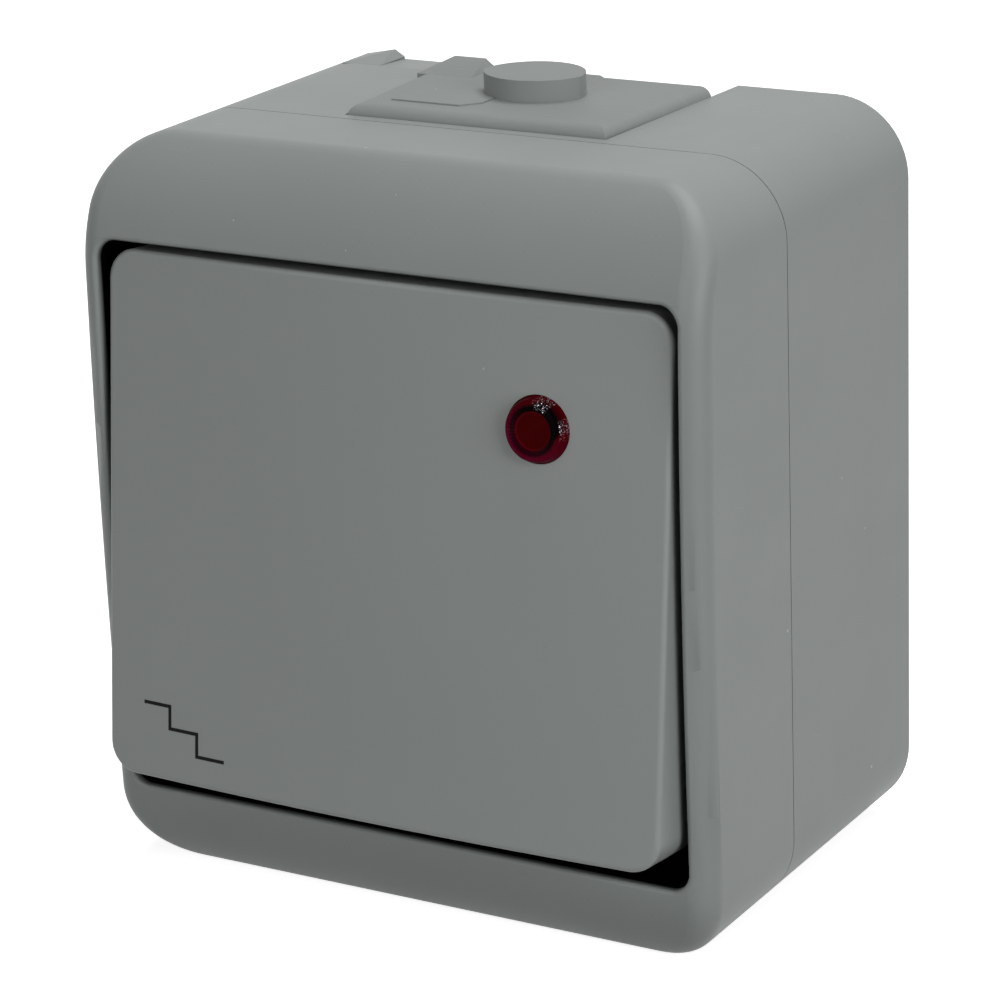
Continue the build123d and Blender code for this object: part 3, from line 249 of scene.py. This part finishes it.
def new_material(name):
    """An empty material and the place on the piece, as its first value."""
    made = bpy.data.materials.new(name)
    start = empty_tree(made)
    return made, start.out(start.node("ShaderNodeTexCoord"), "Object")


def surface(place, painted_shade=None, **sockets):
    """The surface itself, and a share of it painted near black as painted shade."""
    shader = place.out(place.node("ShaderNodeBsdfPrincipled", **sockets))
    if painted_shade:
        # Painted shade: a near-black diffuse where the mask is 1.
        painted_shade_shader = place.out(place.node("ShaderNodeBsdfDiffuse", Color=linear(5, 6, 6)))
        shader = place.out(place.node("ShaderNodeMixShader", i0=painted_shade, i1=shader, i2=painted_shade_shader))
    place.node("ShaderNodeOutputMaterial", Surface=shader)


def noise(place, scale, detail=2.0, roughness=0.5):
    """Smooth random value between 0 and 1 at a number of waves per metre."""
    waves = place.node(
        "ShaderNodeTexNoise", Vector=place, Scale=scale, Detail=detail, Roughness=roughness
    )
    return place.out(waves, "Fac")


def relief(place, height, strength, depth):
    """Fine unevenness of the surface, with its full depth in metres."""
    return place.out(place.node("ShaderNodeBump", Strength=strength, Distance=depth, Height=height))


def specked(place, colour, speck_colour, strength, cells, share, size):
    """The colour with specks in a share of the cells, each a little different in size."""
    cell = place.node("ShaderNodeTexVoronoi", Vector=place, Scale=cells, Randomness=1.0)
    chance = place.node("ShaderNodeSeparateColor", Color=place.out(cell, "Color"))
    picked = place.out(chance, "Red").below(share)
    smallest = size * 0.35
    radius = place.out(chance, "Green") * size + smallest
    specks = (radius - place.out(cell, "Distance")).above(0.0) * picked
    return (specks * strength).colours(colour, speck_colour)


def moulded(place, pale, dark, grain, roughness, painted_shade=None):
    """Satin moulded plastic: cloudy tone, fine grain, pale dust, small dark pits and any painted
    shade.
    """
    pale_dust, dark_pits = linear(205, 207, 206), linear(62, 64, 63)
    colour = noise(place, 60.0, 3.0).colours(dark, pale)
    colour = specked(place, colour, pale_dust, 0.55, cells=230.0, share=0.90, size=0.030)
    colour = specked(place, colour, dark_pits, 0.50, cells=150.0, share=0.80, size=0.018)
    surface(
        place,
        painted_shade,
        Base_Color=colour,
        Roughness=noise(place, 140.0, 4.0) * 0.10 + (roughness - 0.05),
        Normal=relief(place, noise(place, 5200.0, 2.0, 0.6), strength=grain, depth=0.00002),
        IOR=1.46,
        Specular_IOR_Level=0.35,
    )


def cover_with(material, *names):
    """Gives the CAD nodes their material."""
    for name in names:
        piece = nodes[name]
        piece.data.materials.clear()
        piece.data.materials.append(material)


casing_grey, place = new_material("casing_grey")
axes = place.node("ShaderNodeSeparateXYZ", Vector=place)
depth, height = place.out(axes, "Y") * -1.0, place.out(axes, "Z")
tray_half_width, tray_half_height, tray_middle = 0.0309, 0.0277, -0.0005
tray_back, rim_front, rim_blur = 0.0330, 0.0430, 0.0007
in_width = place.maths("ABSOLUTE", place.out(axes, "X")).below(tray_half_width)
in_height = place.maths("ABSOLUTE", height - tray_middle).below(tray_half_height)
# Painted shade: the tray behind the rocker, back from its rim, is painted near black.
in_tray = in_width * in_height * depth.above(tray_back)
below_rim = ((rim_front - depth) / rim_blur).held()
moulded(
    place,
    pale=linear(141, 146, 144),
    dark=linear(135, 140, 138),
    grain=0.35,
    roughness=0.46,
    painted_shade=in_tray * below_rim,
)
cover_with(casing_grey, "base_box", "front_cover")


# Gasket and collar: soft black rubber cord pressed in the seam's groove, and the square
# collar that seals the insert against the tray. Both are extruded and powdery dull.
soft_rubber, place = new_material("soft_rubber")
surface(
    place,
    Base_Color=noise(place, 500.0, 4.0).colours(linear(34, 34, 35), linear(52, 52, 53)),
    Roughness=noise(place, 300.0) * 0.15 + 0.70,
    Normal=relief(place, noise(place, 2400.0, 3.0), strength=0.4, depth=0.00003),
)
cover_with(soft_rubber, "rim_gasket", "insert_seal")


# Gland plate: one piece of soft elastomer in the casing's grey, slid into the top wall's
# slot. It is duller than the hard plastic and keeps faint rub marks from the fingers.
def stretched(place, scale):
    """The place with each axis scaled, for patterns that run one way."""
    return place.out(place.node("ShaderNodeMapping", Vector=place, Scale=scale))


gland_soft, place = new_material("gland_soft")
rubs = noise(stretched(place, (1.0, 5.0, 1.0)), 260.0, 5.0, 0.6)
rub_marks = rubs.steeper(4.0, 2.3) * 0.35
gland_tone = noise(place, 90.0, 3.0).colours(linear(133, 138, 136), linear(141, 145, 143))
gland_tone = rub_marks.colours(gland_tone, linear(158, 160, 159))
gland_dust = linear(200, 202, 200)
gland_tone = specked(place, gland_tone, gland_dust, 0.60, cells=330.0, share=0.90, size=0.045)
surface(
    place,
    Base_Color=gland_tone,
    Roughness=rubs * 0.15 + 0.55,
    Normal=relief(place, noise(place, 3000.0, 3.0, 0.6), strength=0.5, depth=0.00003),
    IOR=1.48,
    Specular_IOR_Level=0.3,
)
cover_with(gland_soft, "cable_gland")


# Insert body: dark insulating moulding, filled with glass fibre, that carries the strips
# and clamps. Its skin shows the fibres as a fine streaky mottle.
insert_dark, place = new_material("insert_dark")
fibres = noise(stretched(place, (1.0, 1.0, 6.0)), 900.0, 4.0, 0.65)
surface(
    place,
    Base_Color=fibres.colours(linear(44, 44, 46), linear(70, 70, 72)),
    Roughness=fibres * 0.2 + 0.42,
    Normal=relief(place, fibres, strength=0.3, depth=0.00003),
)
cover_with(insert_dark, "insert_body")


# Insert plate and lamp socket: light grey hard plastic. The plate carries the rocker's
# bearings and is screwed on the body; the socket stands on it.
insert_light, place = new_material("insert_light")
moulded(place, pale=linear(206, 206, 200), dark=linear(194, 194, 188), grain=0.3, roughness=0.42)
cover_with(insert_light, "insert_plate", "lamp_holder")


# Contact strips, seesaw and clamps: brass punched from sheet, bright with fine rolling
# lines and a little brown tarnish.
def rolled_metal(name, bright, dull, roughness, lines=(1.0, 1.0, 1.0)):
    """Sheet or drawn metal with fine lines along its run and a cloudy tarnish."""
    made, place = new_material(name)
    grooves = noise(stretched(place, lines), 900.0, 3.0, 0.7)
    tarnish = noise(place, 240.0, 4.0, 0.6).steeper(3.0, 1.2)
    surface(
        place,
        Base_Color=(tarnish * 0.7).colours(bright, dull),
        Roughness=grooves * 0.15 + tarnish * 0.15 + roughness,
        Metallic=1.0,
        Normal=relief(place, grooves, strength=0.25, depth=0.00001),
    )
    return made


contact_brass = rolled_metal(
    "contact_brass", linear(214, 180, 108), linear(150, 112, 62), 0.22, lines=(1.0, 1.0, 9.0)
)
cover_with(contact_brass, "upper_strip", "lower_strip", "common_strip", "seesaw_contact")
clamp_brass = rolled_metal(
    "clamp_brass", linear(206, 172, 106), linear(146, 110, 64), 0.30, lines=(1.0, 6.0, 1.0)
)
cover_with(clamp_brass, "upper_clamp", "lower_clamp", "common_clamp")


# Contact tips: silver alloy, two flat ones riveted on the strips and two domed ones under
# the seesaw. They are pale, with a grey bloom where the sparks work.
contact_silver = rolled_metal(
    "contact_silver", linear(226, 224, 218), linear(120, 117, 112), 0.20
)
cover_with(contact_silver, "fixed_tips", "moving_tips")


# Screws: slotted steel screws with bright zinc plating, for the clamps, the insert's
# plate, the insert itself and the cover.
screw_zinc = rolled_metal(
    "screw_zinc", linear(208, 208, 206), linear(160, 158, 150), 0.24, lines=(1.0, 5.0, 1.0)
)
cover_with(screw_zinc, "clamp_screws", "plate_screws", "insert_screws", "cover_screws")


# Pilot lamp: a small neon bulb of clear glass in its socket. The glass is a little
# smoky from the sealing flame.
lamp_glass, place = new_material("lamp_glass")
smoke = noise(place, 420.0, 3.0)
surface(
    place,
    Base_Color=smoke.colours(linear(240, 222, 210), linear(214, 188, 172)),
    Roughness=smoke * 0.08 + 0.04,
    Transmission_Weight=0.85,
    IOR=1.50,
)
cover_with(lamp_glass, "neon_lamp")


# Series resistor: a lacquered ceramic rod with painted rings, lying on the plate below
# the lamp. The lacquer is glossy and a little uneven.
def upright_axis(place):
    """Height of the place on the piece, in metres."""
    return place.out(place.node("ShaderNodeSeparateXYZ", Vector=place), "Z")


resistor_sand, place = new_material("resistor_sand")
rod_low, rod_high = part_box("series_resistor")[0][2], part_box("series_resistor")[1][2]
along = (upright_axis(place) - rod_low) / (rod_high - rod_low)
half_ring = 0.045
rings = (
    (0.24, linear(196, 60, 30)),
    (0.40, linear(44, 40, 40)),
    (0.56, linear(214, 170, 40)),
    (0.78, linear(170, 140, 66)),
)
lacquer = noise(place, 700.0, 3.0)
rod_colour = lacquer.colours(linear(196, 166, 122), linear(182, 150, 106))
for ring_place, ring_paint in rings:
    ring = place.maths("ABSOLUTE", along - ring_place).below(half_ring)
    rod_colour = ring.colours(rod_colour, ring_paint)
surface(
    place,
    Base_Color=rod_colour,
    Roughness=lacquer * 0.1 + 0.22,
    Normal=relief(place, lacquer, strength=0.2, depth=0.00005),
    IOR=1.52,
)
cover_with(resistor_sand, "series_resistor")


# Lamp leads: stiff tinned copper wire, drawn and bent square. They join the clamps, the
# resistor and the lamp, and are soldered at their ends.
lead_tin = rolled_metal("lead_tin", linear(204, 203, 198), linear(150, 148, 142), 0.28)
cover_with(lead_tin, "lamp_leads")


# Cradle and plunger: low-friction natural plastic. The cradle snaps behind the rocker
# and turns in the plate's bearings; the plunger slides in its boss.
cradle_natural, place = new_material("cradle_natural")
waxy = noise(place, 180.0, 3.0)
surface(
    place,
    Base_Color=waxy.colours(linear(226, 224, 212), linear(214, 211, 198)),
    Roughness=waxy * 0.12 + 0.34,
    Normal=relief(place, noise(place, 2600.0), strength=0.2, depth=0.00002),
    IOR=1.48,
    Subsurface_Weight=0.1,
    Subsurface_Radius=(0.0010, 0.0009, 0.0007),
)
cover_with(cradle_natural, "rocker_cradle", "plunger")


# Plunger spring: cold-drawn steel wire, wound with five turns and left dark from drawing.
# Its front end stands in the cradle and its rear end on the plunger. The real spring shortens
# as the plunger is pushed in; this one keeps one fixed shape.
spring_steel = rolled_metal("spring_steel", linear(176, 176, 178), linear(118, 116, 114), 0.30)
winding = bmesh.new()
winding.from_mesh(nodes["plunger_spring"].data)
bmesh.ops.remove_doubles(winding, verts=winding.verts, dist=0.000001)
for side in winding.faces:
    side.smooth = True
spring_wire = made_piece("spring_wire", winding)
spring_wire.data.materials.append(spring_steel)
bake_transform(spring_wire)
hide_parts("plunger_spring")


# Rocker: one bowed moulding with a finer finish than the casing. Hands have polished it
# slightly towards its lower end, where it is pressed.
rocker_grey, place = new_material("rocker_grey")
rocker_low, rocker_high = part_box("rocker_button")[0][2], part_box("rocker_button")[1][2]
upwards = (upright_axis(place) - rocker_low) / (rocker_high - rocker_low)
rocker_cloud = noise(place, 45.0, 3.0)
rocker_dust, rocker_pits = linear(200, 203, 202), linear(66, 68, 67)
# Its grey is painted a shade lighter than the casing's, as painted light on its front face.
rocker_tone = rocker_cloud.colours(linear(144, 149, 147), linear(149, 154, 152))
rocker_tone = specked(place, rocker_tone, rocker_dust, 0.50, cells=190.0, share=0.70, size=0.026)
rocker_tone = specked(place, rocker_tone, rocker_pits, 0.50, cells=120.0, share=0.70, size=0.014)
surface(
    place,
    Base_Color=rocker_tone,
    Roughness=rocker_cloud * 0.05 + upwards * 0.04 + 0.33,
    Normal=relief(place, noise(place, 5600.0, 2.0, 0.6), strength=0.25, depth=0.00002),
    IOR=1.46,
    Specular_IOR_Level=0.35,
)
cover_with(rocker_grey, "rocker_button")


# Stair sign: a thin black line of printing ink in three treads and two risers, low on
# the rocker's left side and a hair proud of its bowed face. Sign and lens are drawn in
# millimetres, with the rocker upright in mid-swing.
millimetre = 0.001
ink_corners = [
    (-25.70, -18.71), (-22.62, -18.71), (-22.62, -20.92),
    (-19.41, -20.92), (-19.41, -23.15), (-16.20, -23.15),
]
ink_width, ink_proud = 0.35, 0.012
face_depth, face_bow = 46.0, 415.0
hinge = Vector((0.0, -32.0, -0.64))
hinge_swing = math.radians(-6.2)


def swing_to_rest(shape):
    """Turns a shape drawn in mid-swing to the rocker's rest, and scales it to metres."""
    turn = Matrix.Rotation(hinge_swing, 3, "X")
    bmesh.ops.rotate(shape, verts=shape.verts, cent=hinge, matrix=turn)
    bmesh.ops.scale(shape, verts=shape.verts, vec=(millimetre, millimetre, millimetre))


ink = bmesh.new()
across = ink_width / 2
start_x, start_z = ink_corners[0]
start = [ink.verts.new((start_x, 0.0, start_z + side)) for side in (across, -across)]
step = ink.edges.new(start)
for number, (corner_x, corner_z) in enumerate(ink_corners[1:], 1):
    grown = bmesh.ops.extrude_edge_only(ink, edges=[step])["geom"]
    step = [part for part in grown if isinstance(part, bmesh.types.BMEdge)][0]
    high, low = sorted(step.verts, key=lambda point: (point.co.z, point.co.x), reverse=True)
    lean = across if number < len(ink_corners) - 1 else 0.0
    high.co = (corner_x + lean, 0.0, corner_z + across)
    low.co = (corner_x - lean, 0.0, corner_z - across)
bmesh.ops.subdivide_edges(ink, edges=ink.edges[:], cuts=4, use_grid_fill=True)
bmesh.ops.recalc_face_normals(ink, faces=ink.faces)
if sum(face.normal.y for face in ink.faces) > 0:
    bmesh.ops.reverse_faces(ink, faces=ink.faces)
bmesh.ops.solidify(ink, geom=ink.faces[:], thickness=2 * ink_proud)
for point in ink.verts:
    bow = face_bow - math.sqrt(face_bow ** 2 - point.co.x ** 2)
    point.co.y += bow - face_depth - ink_proud
swing_to_rest(ink)
stair_sign = made_piece("stair_sign", ink)
sign_ink, place = new_material("sign_ink")
ink_cover = noise(place, 1500.0, 3.0)
surface(
    place,
    Base_Color=ink_cover.colours(linear(3, 3, 4), linear(12, 12, 13)),
    Roughness=ink_cover * 0.2 + 0.45,
    Specular_IOR_Level=0.08,
)
stair_sign.data.materials.append(sign_ink)
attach(stair_sign, "rocker")


# Pilot lens: turned from clear red plastic and pushed through the rocker from behind, as
# far as its flange. A light pipe stands behind the window, and a ring of small prisms
# runs round it, inside a rounded shoulder that is 1.2 mm proud of the face.
lens_x, lens_z = 17.1, 13.31
lens_face = face_depth - face_bow + math.sqrt(face_bow ** 2 - lens_x ** 2)
pipe_and_flange = [
    (0.0, -4.57), (2.1, -4.57), (2.1, -3.37), (3.7, -3.37), (3.7, -2.37), (3.1, -2.37),
]
shoulder = [(3.1, 0.0), (2.94, 0.30), (2.88, 0.74), (2.80, 0.95), (2.66, 1.09), (2.50, 1.14)]
prism_ring, prism_count, prism_height = 2.12, 44, 0.05
window = [(prism_ring, 1.04), (1.76, 0.96), (1.69, 0.90), (0.0, 0.86)]
sharp_fold = math.radians(35)
touching = 0.01


def on_prism_ring(point):
    """Whether a corner of the upright lens, still on the axis, is one of the prisms' tips."""
    return abs(math.hypot(point.co.x, point.co.z) - prism_ring) < touching


turning = bmesh.new()
lens_line = [
    turning.verts.new((radius, -lens_face - rise, 0.0))
    for radius, rise in pipe_and_flange + shoulder + window
]
for near, far in zip(lens_line, lens_line[1:]):
    turning.edges.new((near, far))
bmesh.ops.spin(
    turning,
    geom=turning.verts[:] + turning.edges[:],
    axis=(0.0, 1.0, 0.0),
    cent=(0.0, 0.0, 0.0),
    angle=2 * math.pi,
    steps=2 * prism_count,
    use_merge=True,
)
bmesh.ops.remove_doubles(turning, verts=turning.verts, dist=0.0005)
bmesh.ops.recalc_face_normals(turning, faces=turning.faces)
for point in filter(on_prism_ring, turning.verts):
    point.co.y += prism_height * math.cos(prism_count * math.atan2(point.co.z, point.co.x))
for side in turning.faces:
    side.smooth = not any(on_prism_ring(point) for point in side.verts)
for fold in turning.edges:
    fold.smooth = fold.calc_face_angle(0.0) < sharp_fold
bmesh.ops.translate(turning, verts=turning.verts, vec=(lens_x, 0.0, lens_z))
swing_to_rest(turning)
pilot_lens = made_piece("pilot_lens", turning)

lens_red, place = new_material("lens_red")
hinge_line = hinge * millimetre
swung_back = hinge_line - Matrix.Rotation(-hinge_swing, 3, "X") @ hinge_line
upright = place.node(
    "ShaderNodeMapping", Vector=place, Location=swung_back, Rotation=(-hinge_swing, 0.0, 0.0)
)
lens_axes = place.node("ShaderNodeSeparateXYZ", Vector=place.out(upright))
off_x = place.out(lens_axes, "X") - lens_x * millimetre
off_z = place.out(lens_axes, "Z") - lens_z * millimetre
from_axis = place.maths("SQRT", off_x * off_x + off_z * off_z)
window_edge, ring_start, shoulder_start = 0.00170, 0.00174, 0.00220
shoulder_shift, edge_blur, shoulder_blur = 0.00058, 0.00012, 0.00030
light_x, light_z = 0.77, 0.64
# Painted light and shade on the lens: its lower left is painted a lighter red and its upper right a
# darker one, with the shoulder's red held further out there.
lit_upper_right = (((off_x * light_x + off_z * light_z) / from_axis - 0.60) * 4.0).held()
painted_lit_lower_left = ((off_x * -0.8 - off_z) / from_axis * 0.6 + 0.4).held()
stain = noise(place, 900.0, 4.0)
lens_tone = stain.colours(linear(64, 0, 1), linear(78, 0, 3))
thin_ring = (1.0 - place.maths("ABSOLUTE", from_axis - window_edge) / edge_blur).held()
lens_tone = (thin_ring * stain).colours(lens_tone, linear(112, 1, 18))
prisms = ((from_axis - ring_start) / edge_blur).held()
lens_tone = prisms.colours(lens_tone, painted_lit_lower_left.colours(linear(4, 0, 1), linear(44, 0, 14)))
rounded = ((from_axis - shoulder_start - lit_upper_right * shoulder_shift) / shoulder_blur).held()
lens_tone = rounded.colours(lens_tone, painted_lit_lower_left.colours(linear(76, 0, 8), linear(104, 1, 38)))
beside = off_z * light_x - off_x * light_z
glint_start, right_glint_shift = 0.00200, 0.00075
inner_limit = beside.below(0.0) * right_glint_shift + glint_start
glint_bunches = place.maths("ABSOLUTE", beside / from_axis).steeper(7.0, 1.6)
in_glint_bunch = glint_bunches * lit_upper_right * from_axis.above(inner_limit)
# Painted glints: white metallic flecks in two bunches on the upper right of the ring and shoulder.
painted_glints = noise(place, 7600.0, 2.0, 0.7).steeper(22.0, 13.1) * in_glint_bunch
surface(
    place,
    Base_Color=painted_glints.colours(lens_tone, linear(250, 236, 244)),
    Metallic=painted_glints,
    Roughness=stain * 0.06 + 0.05,
    Normal=relief(place, noise(place, 2600.0, 3.0, 0.7), strength=0.5, depth=0.00006),
    IOR=1.49,
    Specular_IOR_Level=0.01,
)
pilot_lens.data.materials.append(lens_red)
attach(pilot_lens, "rocker")
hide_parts("indicator_lens")
